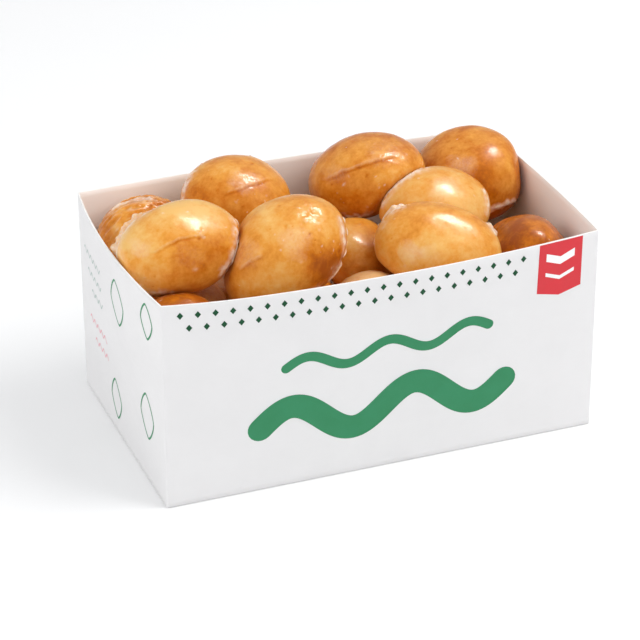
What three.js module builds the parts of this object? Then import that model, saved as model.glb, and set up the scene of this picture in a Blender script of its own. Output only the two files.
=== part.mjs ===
// An open paperboard tray filled with small round glazed doughnuts.
// Millimetres, +Z up. The origin is the middle of the tray's base, on the surface it stands on.
// +X runs along the long printed front, from its left end to its right end, and -Y faces out of that front.

import * as THREE from "three";
import { mergeVertices } from "three/addons/utils/BufferGeometryUtils.js";

// The tray: outer size at its folds, the board's thickness and the round of its upright folds.
const TRAY = { length: 180, depth: 108.5, height: 86.8, board: 0.7, fold: 0.9 };

// How far the filled walls bow out at the middle of the rim, and how the bow grows from base to rim.
const BOW = { front: 7, right: 1.5, back: 2.5, left: 4 };
const BOW_GROWTH = 1.4;
// How the bow runs along a wall: the higher the power, the sooner it bulges from a corner.
const BOW_POWER = 2;
const FRONT_LEFT_POWER = 3;

// Mesh steps: along a long wall, along a short wall, round an upright fold and up a wall.
const STEPS = { long: 14, short: 8, fold: 3, up: 6 };

// A doughnut's form: how much of its height is dome, how square its dome and base are, how far it is
// egg-shaped, and its broad lumps.
const BUN = { domeShare: 0.57, domePower: 2.05, basePower: 2.5, egg: 0.07 };
const LUMPS = { count: 4, size: 0.015, slowest: 1.6, fastest: 3.4 };
const BUN_DETAIL = 4;

// Soft doughnuts press flat where they meet: how deep a press may go while they settle, the gap
// left in it, and how far ahead of the flat its edge rounds off.
const PRESS = { depth: 3, gap: 0.45, round: 1.6 };
const SETTLE = { passes: 240, drop: 0.25 };
const LEAN_STEP = { first: 0.4, last: 0.03 };

// Doughnuts that show from above, read from the way they lie. Each row has the centre of the widest
// section, then length, width and height, then the way the dome leans, how far it leans, and the
// turn of the long side. Angles are in degrees, and a heading of 0 is +X. A dome power of its own
// makes a dome more pointed or flatter than the others.
const TOP_LAYER = [
  { at: [-68.5, -11, 87], size: [51.5, 37.5, 29.5], heading: -108, lean: 28, turn: 8 },
  { at: [-69, 33, 70.5], size: [41, 38, 31], heading: 150, lean: 24, turn: 20 },
  { at: [-31, 31, 84], size: [45, 42, 29], heading: -100, lean: 7, turn: -10 },
  { at: [-29.5, -20.5, 82.5], size: [55, 43, 33.5], heading: -135, lean: 40, turn: 12 },
  { at: [25.5, 30, 84.7], size: [49.5, 43, 30], heading: 179, lean: 18, turn: -36 },
  { at: [44, 2, 79], size: [46, 39, 28], heading: -105, lean: 16, turn: -12 },
  { at: [31.5, -31, 78.5], size: [51, 36, 28.5], heading: -108, lean: 36, turn: -32 },
  { at: [72, 29, 76.3], size: [46, 42, 34], heading: 210, lean: 18, turn: 120, domePower: 2.7 },
];
const MIDDLE_LAYER = [
  { at: [10.4, -2, 63.3], size: [39, 37, 28.5], heading: -40, lean: 30, turn: 0, domePower: 2.6 },
  { at: [70, -31, 68.3], size: [38, 37, 35], heading: 280, lean: 45, turn: 0, domePower: 1.5 },
  { at: [4, -36, 55], size: [42, 40, 32], heading: -90, lean: 16, turn: 15 },
  { at: [-76.5, -34, 60.5], size: [37, 36, 33], heading: -80, lean: 12, turn: -25 },
];

// Doughnuts that hardly show: their size and lean, and where they start before they settle.
const UNDER = { size: [45.5, 44.5, 40], spread: 1.5, lean: 14 };
const UNDER_MIDDLE = { columns: [[-68, 10], [-22, -16], [-40, 32], [64, 2]], level: 58 };
const UNDER_BOTTOM = { rows: 2, stepX: 45, stepsY: [50, 50, 50, 62], level: 21 };
const PILE_SEED = 24;

// A small seeded generator of numbers from 0 to 1, so that every build gives the same lumps.
function seeded(seed) {
  let state = seed >>> 0;
  return () => {
    state = (state + 0x6d2b79f5) >>> 0;
    let mixed = Math.imul(state ^ (state >>> 15), state | 1);
    mixed ^= mixed + Math.imul(mixed ^ (mixed >>> 7), mixed | 61);
    return ((mixed ^ (mixed >>> 14)) >>> 0) / 4294967296;
  };
}

const between = (random, low, high) => low + (high - low) * random();

// How far a wall stands out beyond its folds, at a share along it (-1 to 1) and a height.
function bowAt(side, along, z) {
  const power = side === "front" && along < 0 ? FRONT_LEFT_POWER : BOW_POWER;
  return BOW[side] * (1 - Math.abs(along) ** power) * (z / TRAY.height) ** BOW_GROWTH;
}

// The four walls in the order they are met going round the tray, seen from above, anticlockwise.
// Each has half its length, its distance from the middle of the tray and its mesh steps.
const LONG_WALL = { half: TRAY.length / 2, reach: TRAY.depth / 2, steps: STEPS.long };
const SHORT_WALL = { half: TRAY.depth / 2, reach: TRAY.length / 2, steps: STEPS.short };
const WALLS = [
  { side: "front", out: [0, -1], run: [1, 0], ...LONG_WALL },
  { side: "right", out: [1, 0], run: [0, 1], ...SHORT_WALL },
  { side: "back", out: [0, 1], run: [-1, 0], ...LONG_WALL },
  { side: "left", out: [-1, 0], run: [0, -1], ...SHORT_WALL },
];

// One closed line round the tray at a height, set in from the outer face by an inset.
function trayRing(inset, z) {
  const points = [];
  for (const wall of WALLS) {
    const straight = wall.half - TRAY.fold;
    for (let i = 0; i <= wall.steps; i++) {
      const along = (2 * i) / wall.steps - 1;
      const out = wall.reach - inset + bowAt(wall.side, along, z);
      const run = along * straight;
      points.push([wall.out[0] * out + wall.run[0] * run, wall.out[1] * out + wall.run[1] * run, z]);
    }
    for (let i = 1; i < STEPS.fold; i++) {
      const angle = ((i / STEPS.fold) * Math.PI) / 2;
      const out = wall.reach - TRAY.fold + (TRAY.fold - inset) * Math.cos(angle);
      const run = straight + (TRAY.fold - inset) * Math.sin(angle);
      points.push([wall.out[0] * out + wall.run[0] * run, wall.out[1] * out + wall.run[1] * run, z]);
    }
  }
  return points;
}

// The whole folded board: up the outer face, over the rim, down the inner face, floor and base.
function trayGeometry() {
  const rings = [];
  for (let i = 0; i <= STEPS.up; i++) {
    rings.push(trayRing(0, (TRAY.height * i) / STEPS.up));
  }
  for (let i = STEPS.up; i >= 0; i--) {
    rings.push(trayRing(TRAY.board, TRAY.board + ((TRAY.height - TRAY.board) * i) / STEPS.up));
  }
  const count = rings[0].length;
  const positions = [...rings.flat(2), 0, 0, 0, 0, 0, TRAY.board];
  const baseMiddle = rings.length * count;
  const floorMiddle = baseMiddle + 1;
  const lastRing = (rings.length - 1) * count;
  const faces = [];
  for (let i = 0; i < count; i++) {
    const next = (i + 1) % count;
    for (let ring = 0; ring < rings.length - 1; ring++) {
      const here = ring * count;
      const above = here + count;
      faces.push(here + i, here + next, above + next, here + i, above + next, above + i);
    }
    faces.push(baseMiddle, next, i);
    faces.push(floorMiddle, lastRing + i, lastRing + next);
  }
  const geometry = new THREE.BufferGeometry();
  geometry.setAttribute("position", new THREE.Float32BufferAttribute(positions, 3));
  geometry.setIndex(faces);
  geometry.computeVertexNormals();
  return geometry;
}

// A round bun with a dome above its widest section and a flatter base below, egg-shaped and a
// little lumpy. Its origin is the middle of the widest section, and the dome points along +Z.
function bunGeometry({ size, domePower = BUN.domePower }, seed) {
  const [length, width, height] = size;
  const random = seeded(seed);
  const waves = Array.from({ length: LUMPS.count }, () => ({
    way: new THREE.Vector3().setFromSphericalCoords(1, random() * Math.PI, random() * 2 * Math.PI),
    pitch: between(random, LUMPS.slowest, LUMPS.fastest),
    shift: random() * 2 * Math.PI,
  }));
  const egg = between(random, -BUN.egg, BUN.egg);
  const geometry = new THREE.IcosahedronGeometry(1, BUN_DETAIL);
  geometry.deleteAttribute("normal");
  geometry.deleteAttribute("uv");
  const merged = mergeVertices(geometry);
  const place = merged.getAttribute("position");
  const way = new THREE.Vector3();
  for (let i = 0; i < place.count; i++) {
    way.fromBufferAttribute(place, i).normalize();
    const power = way.z > 0 ? domePower : BUN.basePower;
    const flat = Math.hypot(way.x, way.y);
    let swell = (flat ** power + Math.abs(way.z) ** power) ** (-1 / power);
    for (const wave of waves) {
      swell *= 1 + LUMPS.size * Math.sin(wave.pitch * way.dot(wave.way) + wave.shift);
    }
    const tall = height * (way.z > 0 ? BUN.domeShare : 1 - BUN.domeShare);
    const across = (width / 2) * (1 + egg * way.x);
    place.setXYZ(i, way.x * swell * (length / 2), way.y * swell * across, way.z * swell * tall);
  }
  return merged;
}

// The turn of a doughnut: its dome tips towards a heading by a lean, with its long side at a turn.
function bunTurn({ heading, lean, turn }) {
  const up = new THREE.Vector3(0, 0, 1);
  const headed = THREE.MathUtils.degToRad(heading);
  const tipAxis = new THREE.Vector3(-Math.sin(headed), Math.cos(headed), 0);
  const tip = new THREE.Quaternion().setFromAxisAngle(tipAxis, THREE.MathUtils.degToRad(lean));
  const spin = new THREE.Quaternion().setFromAxisAngle(up, THREE.MathUtils.degToRad(turn));
  return tip.multiply(spin);
}

// One doughnut: its shape as it lies, its centre, its surface points about that centre, and
// whether it stays where it was laid.
function makeBun(name, row, seed, laid) {
  const geometry = bunGeometry(row, seed).applyQuaternion(bunTurn(row));
  const place = geometry.getAttribute("position");
  const points = [];
  for (let i = 0; i < place.count; i++) {
    points.push(new THREE.Vector3().fromBufferAttribute(place, i));
  }
  const centre = new THREE.Vector3(...row.at);
  return { name, geometry, points, laid, size: row.size, centre };
}

// How far a doughnut reaches from its centre in a direction.
function reachOf(bun, way) {
  let furthest = 0;
  for (const point of bun.points) {
    furthest = Math.max(furthest, point.dot(way));
  }
  return furthest;
}

// How far two doughnuts overlap along a direction from the first to the second.
function overlapAlong(a, b, way) {
  const spacing = b.centre.clone().sub(a.centre).dot(way);
  return reachOf(a, way) + reachOf(b, way.clone().negate()) - spacing;
}

// The direction along which two doughnuts overlap least, and that overlap. The search starts on the
// line between their centres and leans it by smaller and smaller steps.
function meeting(a, b) {
  let way = b.centre.clone().sub(a.centre).normalize();
  let overlap = overlapAlong(a, b, way);
  for (let step = LEAN_STEP.first; step > LEAN_STEP.last; step /= 2) {
    const side = new THREE.Vector3(way.y, way.z, way.x).cross(way).normalize();
    const square = side.clone().cross(way);
    for (const lean of [side, square, side.clone().negate(), square.clone().negate()]) {
      const tried = way.clone().addScaledVector(lean, step).normalize();
      const left = overlapAlong(a, b, tried);
      if (left < overlap) {
        overlap = left;
        way = tried;
      }
    }
  }
  return { way, overlap };
}

// Pairs of doughnuts that are near enough to touch.
function nearPairs(buns) {
  const pairs = [];
  buns.forEach((a, i) => {
    for (const b of buns.slice(i + 1)) {
      const furthest = Math.max(...a.size, ...b.size);
      if (a.centre.distanceTo(b.centre) < furthest + PRESS.gap) pairs.push([a, b]);
    }
  });
  return pairs;
}

// Moves two doughnuts apart until they only press into each other. A laid one stays where it is.
function makeRoom(a, b) {
  if (a.laid && b.laid) return;
  const { way, overlap } = meeting(a, b);
  const apart = overlap + PRESS.gap - PRESS.depth;
  if (apart <= 0) return;
  const share = a.laid ? 0 : b.laid ? 1 : 0.5;
  a.centre.addScaledVector(way, -apart * share);
  b.centre.addScaledVector(way, apart * (1 - share));
}

// How far a wall's inner face is out from the middle of the tray at a place, less the gap kept.
function wallLimit(wall, place) {
  const run = place.x * wall.run[0] + place.y * wall.run[1];
  const along = THREE.MathUtils.clamp(run / (wall.half - TRAY.fold), -1, 1);
  const z = THREE.MathUtils.clamp(place.z, 0, TRAY.height);
  return wall.reach + bowAt(wall.side, along, z) - TRAY.board - PRESS.gap;
}

// Everything that holds the pile in: the four walls and the floor, each with its way out and limit.
const HOLDERS = [
  ...WALLS.map((wall) => ({
    way: new THREE.Vector3(wall.out[0], wall.out[1], 0),
    limit: (place) => wallLimit(wall, place),
  })),
  { way: new THREE.Vector3(0, 0, -1), limit: () => -TRAY.board - PRESS.gap },
];

// Moves a doughnut back until it only presses into the walls and the floor.
function keepInside(bun) {
  for (const { way, limit } of HOLDERS) {
    let past = 0;
    for (const point of bun.points) {
      const place = point.clone().add(bun.centre);
      past = Math.max(past, place.dot(way) - limit(place) - PRESS.depth / 2);
    }
    bun.centre.addScaledVector(way, -past);
  }
}

// Lets the loose doughnuts sink while they make room for each other and for those that were laid.
// They stay where they come to rest.
function settle(buns) {
  const loose = buns.filter((bun) => !bun.laid);
  for (let pass = 0; pass < SETTLE.passes; pass++) {
    for (const bun of loose) {
      bun.centre.z -= SETTLE.drop;
    }
    for (const [a, b] of nearPairs(buns)) {
      makeRoom(a, b);
    }
    loose.forEach(keepInside);
  }
  for (const bun of loose) {
    bun.laid = true;
  }
}

// Presses a doughnut's surface back behind a limit in a direction, with a round edge to the flat.
function press(bun, way, limit) {
  for (const point of bun.points) {
    const place = point.clone().add(bun.centre);
    const past = place.dot(way) - limit(place) + PRESS.round;
    if (past > 0) point.addScaledVector(way, PRESS.round * (1 - Math.exp(-past / PRESS.round)) - past);
  }
}

// Presses every doughnut flat against its neighbours and against what holds the pile in.
function pressPile(buns) {
  const meetings = nearPairs(buns).map(([a, b]) => ({ a, b, ...meeting(a, b) }));
  for (const { a, b, way, overlap } of meetings) {
    const middle = a.centre.dot(way) + reachOf(a, way) - overlap / 2;
    if (overlap + PRESS.gap <= 0) continue;
    press(a, way, () => middle - PRESS.gap / 2);
    press(b, way.clone().negate(), () => -middle - PRESS.gap / 2);
  }
  for (const bun of buns) {
    HOLDERS.forEach(({ way, limit }) => press(bun, way, limit));
    bun.geometry.setFromPoints(bun.points);
    bun.geometry.computeVertexNormals();
  }
}

// A hidden doughnut's start: a little off its place in the layer and turned at random.
function underRow(x, y, z, random) {
  const off = () => between(random, -UNDER.spread, UNDER.spread);
  return {
    at: [x + off(), y + off(), z],
    size: UNDER.size.map((side) => side + off()),
    heading: 360 * random(),
    lean: UNDER.lean * random(),
    turn: 360 * random(),
  };
}

// Every doughnut in the tray, by layer. The bottom layer comes to rest before what lies on it.
function makePile() {
  const random = seeded(PILE_SEED);
  const middle = UNDER_MIDDLE.columns.map(([x, y]) => underRow(x, y, UNDER_MIDDLE.level, random));
  const bottom = [];
  for (let row = 0; row < UNDER_BOTTOM.rows; row++) {
    UNDER_BOTTOM.stepsY.forEach((stepY, column) => {
      const x = (column - (UNDER_BOTTOM.stepsY.length - 1) / 2) * UNDER_BOTTOM.stepX;
      const y = (row - (UNDER_BOTTOM.rows - 1) / 2) * stepY;
      bottom.push(underRow(x, y, UNDER_BOTTOM.level, random));
    });
  }
  const layers = [
    ["top", TOP_LAYER, true],
    ["middle", MIDDLE_LAYER, true],
    ["under", middle, false],
    ["bottom", bottom, false],
  ];
  const buns = [];
  for (const [layer, rows, laid] of layers) {
    rows.forEach((row, i) => {
      buns.push(makeBun(`doughnut_${layer}_${i + 1}`, row, buns.length + 1, laid));
    });
  }
  settle(buns.slice(-bottom.length));
  settle(buns);
  pressPile(buns);
  return buns;
}

const boardMaterial = new THREE.MeshStandardMaterial({ color: 0xf1f1f0, roughness: 0.7, metalness: 0 });
const crustMaterial = new THREE.MeshStandardMaterial({ color: 0xd18a3c, roughness: 0.35, metalness: 0 });

const box = new THREE.Group();
box.name = "box_of_doughnuts";

const tray = new THREE.Mesh(trayGeometry(), boardMaterial);
tray.name = "tray";
box.add(tray);

for (const bun of makePile()) {
  const mesh = new THREE.Mesh(bun.geometry, crustMaterial);
  mesh.name = bun.name;
  mesh.position.copy(bun.centre);
  box.add(mesh);
}

export default box;
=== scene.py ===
# An open paperboard tray heaped with small round glazed doughnuts: its looks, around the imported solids.
# Metres, +Z up, in the frame of the solids. A name that ends in _MM holds millimetres.
import itertools
import math

import bpy
import numpy as np
from mathutils import Matrix, Vector
from mathutils.bvhtree import BVHTree


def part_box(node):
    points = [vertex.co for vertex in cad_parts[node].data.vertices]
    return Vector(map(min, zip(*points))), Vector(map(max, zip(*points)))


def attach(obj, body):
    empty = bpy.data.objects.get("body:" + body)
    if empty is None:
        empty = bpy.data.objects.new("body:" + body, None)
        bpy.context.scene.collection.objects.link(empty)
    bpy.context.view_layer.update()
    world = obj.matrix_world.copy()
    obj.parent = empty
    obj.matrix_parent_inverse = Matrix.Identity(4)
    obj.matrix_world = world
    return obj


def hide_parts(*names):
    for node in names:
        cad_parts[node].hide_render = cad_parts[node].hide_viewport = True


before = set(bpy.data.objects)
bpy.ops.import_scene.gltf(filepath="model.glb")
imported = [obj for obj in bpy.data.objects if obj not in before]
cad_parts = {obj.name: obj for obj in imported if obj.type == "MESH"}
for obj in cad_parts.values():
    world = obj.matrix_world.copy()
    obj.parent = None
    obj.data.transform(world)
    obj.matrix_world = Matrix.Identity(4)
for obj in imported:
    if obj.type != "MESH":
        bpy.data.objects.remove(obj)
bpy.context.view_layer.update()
MM = 0.001

# The view: the way to the camera, its distance from the middle of the tray, lens and framing.
VIEW_AZIMUTH, VIEW_ELEVATION = math.radians(-21.37), math.radians(27.21)
VIEW_DISTANCE = 1.0505
LENS_MM = 146.2
FRAMING_SHIFT = (-0.0225, -0.0183)
BACK = np.array([
    math.sin(VIEW_AZIMUTH) * math.cos(VIEW_ELEVATION),
    -math.cos(VIEW_AZIMUTH) * math.cos(VIEW_ELEVATION),
    math.sin(VIEW_ELEVATION),
])
RIGHT = np.array([math.cos(VIEW_AZIMUTH), math.sin(VIEW_AZIMUTH), 0.0])
UP = np.cross(BACK, RIGHT)

# The tray: how far each filled wall bows out at the middle of its rim, how the bow grows from base to
# rim and how it runs along a wall, as in the solid. Its size at the folds follows from the solid's box.
BOW_MM = {"front": 7.0, "right": 1.5, "back": 2.5, "left": 4.0}
BOW_GROWTH = 1.4
BOW_POWER, FRONT_LEFT_POWER = 2, 3
BOARD_MM, FOLD_MM = 0.7, 0.9
TRAY_SIZE_MM = (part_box("tray")[1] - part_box("tray")[0]) / MM
LENGTH_MM = TRAY_SIZE_MM.x - BOW_MM["left"] - BOW_MM["right"]
DEPTH_MM = TRAY_SIZE_MM.y - BOW_MM["front"] - BOW_MM["back"]
HEIGHT_MM = TRAY_SIZE_MM.z

# Doughnuts that show get a finer mesh than those below them.
SHOWN = [f"doughnut_top_{i}" for i in range(1, 9)] + [f"doughnut_middle_{i}" for i in range(1, 5)]
SHOWN_LEVELS, HIDDEN_LEVELS = 3, 2

# Whole numbers that scatter the corners of random relief.
CORNER_STEPS = np.array([374761393, 668265263, 2147483647])
CORNER_MIX = 1274126177


# Small tools

def link(obj):
    bpy.context.scene.collection.objects.link(obj)
    return obj


def mesh_piece(name, points_mm, faces, materials, indices=None):
    """A smooth mesh piece that rides on the tray's body, from points in millimetres."""
    mesh = bpy.data.meshes.new(name)
    mesh.from_pydata((np.asarray(points_mm) * MM).tolist(), [], faces)
    for material in materials:
        mesh.materials.append(material)
    if indices is not None:
        mesh.polygons.foreach_set("material_index", indices)
    mesh.polygons.foreach_set("use_smooth", [True] * len(mesh.polygons))
    mesh.validate()
    mesh.update()
    piece = link(bpy.data.objects.new(name, mesh))
    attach(piece, "root")
    return piece


def smooth_step(value, low, high):
    share = np.clip((value - low) / (high - low), 0, 1)
    return share * share * (3 - 2 * share)


def bell(distance, width=1.0):
    """1 at no distance, and falling smoothly to nought over about two widths."""
    return np.exp(-(distance / width) ** 2)


def lattice(corner, seed):
    """A repeatable number from -1 to 1 for each whole-numbered corner of a lattice."""
    mixed = corner @ CORNER_STEPS + seed * CORNER_MIX
    mixed = (mixed ^ (mixed >> 13)) * CORNER_MIX
    mixed = (mixed ^ (mixed >> 16)) & 0xFFFF
    return mixed / 32767.5 - 1


def ripple(points, pitch, seed):
    """Smooth random relief from -1 to 1 at points, with bumps about one pitch apart."""
    scaled = points / pitch
    low = np.floor(scaled).astype(np.int64)
    share = scaled - low
    share = share * share * (3 - 2 * share)
    total = np.zeros(len(points))
    for corner in itertools.product((0, 1), repeat=3):
        near = np.abs(1 - np.array(corner) - share)
        total += near[:, 0] * near[:, 1] * near[:, 2] * lattice(low + corner, seed)
    return total


# Material tools

# Places of the two colours among the inputs of a colour mix, and of the result among its outputs.
MIX_FIRST, MIX_SECOND, MIX_RESULT = 6, 7, 2


def new_material(name):
    """A node material and its shader."""
    material = bpy.data.materials.new(name)
    material.use_nodes = True
    return material, material.node_tree, material.node_tree.nodes["Principled BSDF"]


def feed(tree, socket, value):
    """Links an output to a socket, or sets the socket to a constant."""
    if isinstance(value, bpy.types.NodeSocket):
        tree.links.new(value, socket)
    else:
        socket.default_value = value


def add_node(tree, kind, settings=None, **inputs):
    """A node with its settings and its inputs by name, with _ for a space."""
    node = tree.nodes.new(kind)
    for key, value in (settings or {}).items():
        setattr(node, key, value)
    for key, value in inputs.items():
        feed(tree, node.inputs[key.replace("_", " ")], value)
    return node


def object_noise(tree, scale, detail=3.0, roughness=0.55, stretch=(1, 1, 1)):
    """Noise in the object's own metres: scale is the number of bumps in a metre."""
    place = add_node(tree, "ShaderNodeTexCoord")
    mapping = add_node(tree, "ShaderNodeMapping", Vector=place.outputs["Object"], Scale=stretch)
    noise = add_node(tree, "ShaderNodeTexNoise", Vector=mapping.outputs["Vector"], Scale=scale,
                     Detail=detail, Roughness=roughness)
    return noise.outputs["Fac"]


def mapped(tree, value, low, high, new_low, new_high):
    """A value moved from one range to another, and kept within it."""
    node = add_node(tree, "ShaderNodeMapRange", Value=value, From_Min=low, From_Max=high,
                    To_Min=new_low, To_Max=new_high)
    return node.outputs["Result"]


def maths(tree, operation, a, b):
    node = add_node(tree, "ShaderNodeMath", {"operation": operation})
    feed(tree, node.inputs[0], a)
    feed(tree, node.inputs[1], b)
    return node.outputs["Value"]


def mixed_colour(tree, share, first, second):
    """Two colours mixed by a share. Each of them is an output or a constant."""
    node = add_node(tree, "ShaderNodeMix", {"data_type": "RGBA"}, Factor=share)
    for place, value in ((MIX_FIRST, first), (MIX_SECOND, second)):
        feed(tree, node.inputs[place], (*value, 1.0) if isinstance(value, tuple) else value)
    return node.outputs[MIX_RESULT]


def colour_ramp(tree, value, stops):
    node = add_node(tree, "ShaderNodeValToRGB", Fac=value)
    ramp = node.color_ramp
    while len(ramp.elements) < len(stops):
        ramp.elements.new(0.5)
    for element, (place, colour) in zip(ramp.elements, stops):
        element.position = place
        element.color = (*colour, 1.0)
    return node.outputs["Color"]


def bump(tree, height, strength, distance_mm, normal=None):
    node = add_node(tree, "ShaderNodeBump", Height=height, Strength=strength, Distance=distance_mm * MM)
    if normal is not None:
        feed(tree, node.inputs["Normal"], normal)
    return node.outputs["Normal"]


# Materials

# Colours of the dough from pale to dark, each with its place on the scale of browning, and of dried sugar.
DOUGH = (
    (0.05, (0.86, 0.50, 0.15)),
    (0.38, (0.79, 0.33, 0.046)),
    (0.70, (0.61, 0.175, 0.006)),
    (0.98, (0.38, 0.085, 0.003)),
)
SUGAR = (0.88, 0.73, 0.61)

# Fine patterns of the crust, in bumps to a metre.
MOTTLE, FRECKLE, CRACKLE, SHEEN = 240, 800, 1100, 420
DOUGH_RIPPLE, DOUGH_GRAIN, GLAZE_RIPPLE = 190, 1500, 300

# How the crust takes light, which spreads in the dough under a clear coat of glaze.
CRUST_LIGHT = {
    "Subsurface Weight": 0.14,
    "Subsurface Radius": (1.0, 0.45, 0.14),
    "Subsurface Scale": 0.004,
    "Coat Weight": 0.75,
    "Coat Roughness": 0.25,
    "Coat IOR": 1.45,
    "Specular IOR Level": 0.06,
}

# Each face of the board: its colour, the shade of its clouds and fibres, its roughness, the clouds in bumps
# to a metre, and how far the fibres show.
# Painted light: the inside is lighter and warmer than the outside of the same board, for the bounce light in
# the tray.
BOARDS = {
    "outside": ((0.77, 0.762, 0.764), (0.73, 0.722, 0.724), 0.50, 40, 0.10),
    "edge": ((0.93, 0.925, 0.91), (0.86, 0.84, 0.80), 0.80, 300, 0.45),
    "inside": ((0.975, 0.935, 0.90), (0.955, 0.905, 0.86), 0.80, 55, 0.30),
}
FIBRES, FIBRE_STRETCH, FIBRE_ROUGHNESS = 900, (0.25, 0.25, 1.0), 0.06
BOARD_SPECULAR = 0.4

# Each ink: its colour and the shade of its clouds.
INKS = {
    "green": ((0.030, 0.225, 0.095), (0.036, 0.25, 0.115)),
    "dark_green": ((0.004, 0.065, 0.022), (0.006, 0.080, 0.030)),
    "red": ((0.66, 0.034, 0.046), (0.62, 0.042, 0.052)),
    "white": ((0.90, 0.90, 0.90), (0.86, 0.86, 0.86)),
    "pink": ((0.78, 0.33, 0.38), (0.80, 0.42, 0.46)),
    "faint_green": ((0.40, 0.50, 0.46), (0.46, 0.55, 0.52)),
}
INK_CLOUD, INK_SPECKLE, INK_SHEEN = 120, 2600, 700
INK_SPECULAR = 0.25


def crust_material():
    """Golden fried dough under clear sugar glaze, browner and whiter where the mesh says so, which also
    paints light and shade.
    """
    material, tree, shader = new_material("glazed_crust")
    brown_and_painted_light = add_node(tree, "ShaderNodeAttribute", {"attribute_name": "brown_and_painted_light"}).outputs["Fac"]
    sugar_and_painted_highlights = add_node(tree, "ShaderNodeAttribute", {"attribute_name": "sugar_and_painted_highlights"}).outputs["Fac"]
    mottle = mapped(tree, object_noise(tree, MOTTLE, 4.0), 0.3, 0.7, -0.13, 0.13)
    freckle = mapped(tree, object_noise(tree, FRECKLE), 0.35, 0.65, -0.05, 0.05)
    tone = maths(tree, "ADD", brown_and_painted_light, maths(tree, "ADD", mottle, freckle))
    crackle = mapped(tree, object_noise(tree, CRACKLE), 0.35, 0.65, -0.25, 0.25)
    crackled = maths(tree, "ADD", sugar_and_painted_highlights, maths(tree, "MULTIPLY", sugar_and_painted_highlights, crackle))
    white = mapped(tree, crackled, 0.05, 0.95, 0.0, 0.85)
    colour = mixed_colour(tree, white, colour_ramp(tree, tone, DOUGH), SUGAR)
    sheen = mapped(tree, object_noise(tree, SHEEN), 0.3, 0.7, 0.30, 0.46)
    rough = maths(tree, "ADD", sheen, maths(tree, "MULTIPLY", white, 0.15))
    ripples = bump(tree, object_noise(tree, DOUGH_RIPPLE), 0.22, 1.0)
    grain = bump(tree, object_noise(tree, DOUGH_GRAIN, 2.0), 0.10, 0.25, ripples)
    glaze = bump(tree, object_noise(tree, GLAZE_RIPPLE, 2.0), 0.11, 0.6)
    looks = {"Base Color": colour, "Roughness": rough, "Normal": grain, "Coat Normal": glaze}
    for key, value in (looks | CRUST_LIGHT).items():
        feed(tree, shader.inputs[key], value)
    return material


def board_material(face):
    """One face of the board: a faint cloudy tone, long fine fibres and a roughness that follows them."""
    colour, shade, roughness, clouds, fibre_share = BOARDS[face]
    material, tree, shader = new_material(f"board_{face}")
    cloud = mapped(tree, object_noise(tree, clouds, 4.0), 0.35, 0.65, 0.0, 1.0)
    fibres = object_noise(tree, FIBRES, 4.0, 0.6, FIBRE_STRETCH)
    fine = mapped(tree, fibres, 0.35, 0.65, 0.0, fibre_share)
    base = mixed_colour(tree, maths(tree, "MULTIPLY", cloud, 0.5), colour, shade)
    rough = mapped(tree, fibres, 0.3, 0.7, roughness - FIBRE_ROUGHNESS, roughness + FIBRE_ROUGHNESS)
    feed(tree, shader.inputs["Base Color"], mixed_colour(tree, fine, base, shade))
    feed(tree, shader.inputs["Roughness"], rough)
    feed(tree, shader.inputs["Normal"], bump(tree, fibres, 0.12, 0.08))
    shader.inputs["Specular IOR Level"].default_value = BOARD_SPECULAR
    return material


def ink_material(name):
    """Printed ink: even colour with the slight cloudiness and the satin of print on coated board."""
    material, tree, shader = new_material(f"{name}_ink")
    cloud = mapped(tree, object_noise(tree, INK_CLOUD, 5.0), 0.35, 0.65, 0.0, 0.6)
    speckle = mapped(tree, object_noise(tree, INK_SPECKLE, 2.0), 0.45, 0.75, 0.0, 0.35)
    base = mixed_colour(tree, maths(tree, "ADD", cloud, speckle), *INKS[name])
    feed(tree, shader.inputs["Base Color"], base)
    feed(tree, shader.inputs["Roughness"], mapped(tree, object_noise(tree, INK_SHEEN), 0.3, 0.7, 0.40, 0.52))
    shader.inputs["Specular IOR Level"].default_value = INK_SPECULAR
    return material


# The tray

WALLS = {
    "front": {"out": (0, -1), "run": (1, 0), "half": LENGTH_MM / 2, "reach": DEPTH_MM / 2, "steps": 72},
    "right": {"out": (1, 0), "run": (0, 1), "half": DEPTH_MM / 2, "reach": LENGTH_MM / 2, "steps": 44},
    "back": {"out": (0, 1), "run": (-1, 0), "half": LENGTH_MM / 2, "reach": DEPTH_MM / 2, "steps": 72},
    "left": {"out": (-1, 0), "run": (0, -1), "half": DEPTH_MM / 2, "reach": LENGTH_MM / 2, "steps": 44},
}
FOLD_STEPS, UP_STEPS = 5, 36

# The board's faces as material numbers, how soft its edges are, and how far in its base lies flat.
OUTSIDE, EDGE, INSIDE = range(3)
SOFT_MM, BASE_INSET_MM = 0.15, 0.5


def bow_at(side, along, z):
    """How far a wall stands out beyond its folds, at a share along it (-1 to 1) and a height."""
    power = FRONT_LEFT_POWER if side == "front" and along < 0 else BOW_POWER
    return BOW_MM[side] * (1 - abs(along) ** power) * (z / HEIGHT_MM) ** BOW_GROWTH


def wall_point(side, run, z, lift):
    """A place on a wall: run is millimetres along it from its middle, left to right seen from outside."""
    wall = WALLS[side]
    along = np.clip(run / (wall["half"] - FOLD_MM), -1, 1)
    out = wall["reach"] + bow_at(side, along, z) + lift
    return [wall["out"][0] * out + wall["run"][0] * run, wall["out"][1] * out + wall["run"][1] * run, z]


def tray_ring(inset, z):
    """One closed line round the tray at a height, set in from the outer face."""
    points = []
    for side, wall in WALLS.items():
        straight = wall["half"] - FOLD_MM
        for i in range(wall["steps"] + 1):
            points.append(wall_point(side, straight * (2 * i / wall["steps"] - 1), z, -inset))
        for i in range(1, FOLD_STEPS):
            angle = i / FOLD_STEPS * math.pi / 2
            out = wall["reach"] - FOLD_MM + (FOLD_MM - inset) * math.cos(angle)
            run = straight + (FOLD_MM - inset) * math.sin(angle)
            points.append([wall["out"][0] * out + wall["run"][0] * run,
                           wall["out"][1] * out + wall["run"][1] * run, z])
    return points


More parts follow.
